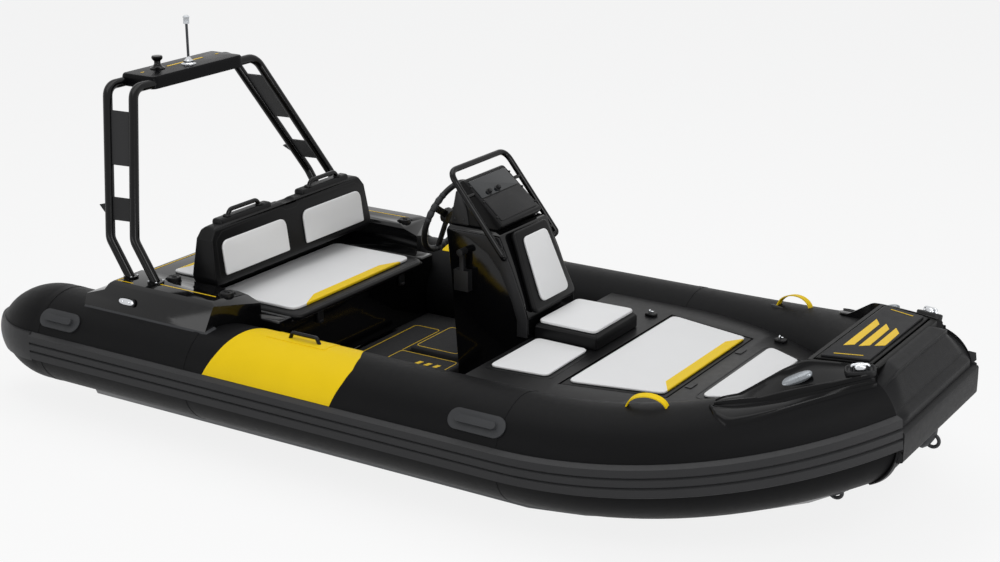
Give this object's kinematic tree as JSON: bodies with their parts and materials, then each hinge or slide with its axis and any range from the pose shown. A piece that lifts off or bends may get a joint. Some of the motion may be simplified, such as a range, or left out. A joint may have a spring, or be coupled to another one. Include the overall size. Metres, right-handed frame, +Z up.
{
  "type": "rigid inflatable boat",
  "caption": "Black rigid inflatable tender afloat, with a jet drive, rear bench, roll arch, centre console, white cushions and a hatched bow",
  "frame": {"origin": "on the centreline, amidships, at the waterline the boat floats at", "axes": "+X to the bow, +Y to port, +Z up"},
  "size_m": [4.1047, 1.904, 1.8125],
  "materials": {
    "hull_paint": "satin",
    "tube_fabric": "satin",
    "strake_rubber": "satin",
    "trim_rubber": "matte",
    "yellow_strap": "matte",
    "moulding_black": "gloss",
    "panel_grey": "satin",
    "tube_paint": "gloss",
    "white_vinyl": "satin",
    "bright_steel": "polished",
    "cap_plastic": "satin",
    "jet_alloy": "satin"
  },
  "bodies": {
    "boat": {"hull": "hull_paint", "tube_starboard": "tube_fabric", "tube_port": "tube_fabric", "tube_bow": "tube_fabric", "strake_starboard": "strake_rubber", "strake_port": "strake_rubber", "strake_bow": "strake_rubber", "tube_handles": "trim_rubber", "towing_rings": "trim_rubber", "top_grips": "trim_rubber", "floor_steps": "trim_rubber", "strap_handles": "yellow_strap", "stern_deck": "moulding_black", "side_pod_starboard": "moulding_black", "side_pod_port": "moulding_black", "bench_base": "moulding_black", "backrest_shell": "moulding_black", "console_body": "moulding_black", "console_backrest": "moulding_black", "foredeck": "moulding_black", "seat_box": "moulding_black", "bow_moulding": "moulding_black", "floor_liner": "moulding_black", "console_strips": "panel_grey", "instrument_box": "panel_grey", "arch_panels": "panel_grey", "arch_roof": "panel_grey", "arch_brackets": "panel_grey", "arch_front_hoop": "tube_paint", "arch_rear_hoop": "tube_paint", "grab_rail": "tube_paint", "backrest_handles": "tube_paint", "backrest_struts": "tube_paint", "tow_bollard": "tube_paint", "stern_cushion": "white_vinyl", "backrest_pads": "white_vinyl", "console_back_pad": "white_vinyl", "seat_cushion": "white_vinyl", "side_cushion": "white_vinyl", "bow_cushion": "white_vinyl", "light_mast": "bright_steel", "cleats": "bright_steel", "nav_lights": "bright_steel", "intake_grate": "bright_steel", "pod_caps": "cap_plastic", "throttle": "cap_plastic", "steering_column": "cap_plastic", "jet_housing": "jet_alloy", "drive_unit": "jet_alloy"},
    "steering_wheel": {"steering_wheel": "cap_plastic"},
    "jet_nozzle": {"jet_nozzle": "jet_alloy"},
    "reverse_bucket": {"reverse_bucket": "jet_alloy"},
    "bench_lid": {"bench_lid": "moulding_black", "bench_cushion": "white_vinyl"},
    "locker_lid": {"locker_lid": "moulding_black", "locker_cushion": "white_vinyl"},
    "bow_hatch": {"bow_hatch": "panel_grey", "bow_hatch_pad": "panel_grey"}
  },
  "joints": [
    {"name": "steering_wheel_turn", "type": "hinge", "parent": "boat", "child": "steering_wheel", "pos_m": [-0.235, 0.08, 0.88], "axis": [-0.9397, 0, 0.342], "range_deg": [-450, 450]},
    {"name": "jet_steer", "type": "hinge", "parent": "boat", "child": "jet_nozzle", "pos_m": [-1.85, 0, -0.06], "axis": [0, 0, -1], "range_deg": [-23, 23]},
    {"name": "reverse_bucket_hinge", "type": "hinge", "parent": "jet_nozzle", "child": "reverse_bucket", "pos_m": [-1.89, 0, -0.06], "axis": [0, -1, 0], "range_deg": [0, 70]},
    {"name": "bench_lid_hinge", "type": "hinge", "parent": "boat", "child": "bench_lid", "pos_m": [-1.1245, 0, 0.5], "axis": [0, -1, 0], "range_deg": [0, 20]},
    {"name": "locker_lid_hinge", "type": "hinge", "parent": "boat", "child": "locker_lid", "pos_m": [1.066, 0, 0.478], "axis": [0, 1, 0], "range_deg": [0, 75]},
    {"name": "bow_hatch_hinge", "type": "hinge", "parent": "boat", "child": "bow_hatch", "pos_m": [1.836, 0, 0.74], "axis": [0, 1, 0], "range_deg": [0, 80]}
  ],
  "couplings": [
    {"joint": "jet_steer", "follows": "steering_wheel_turn", "ratio": 0.051111}
  ]
}
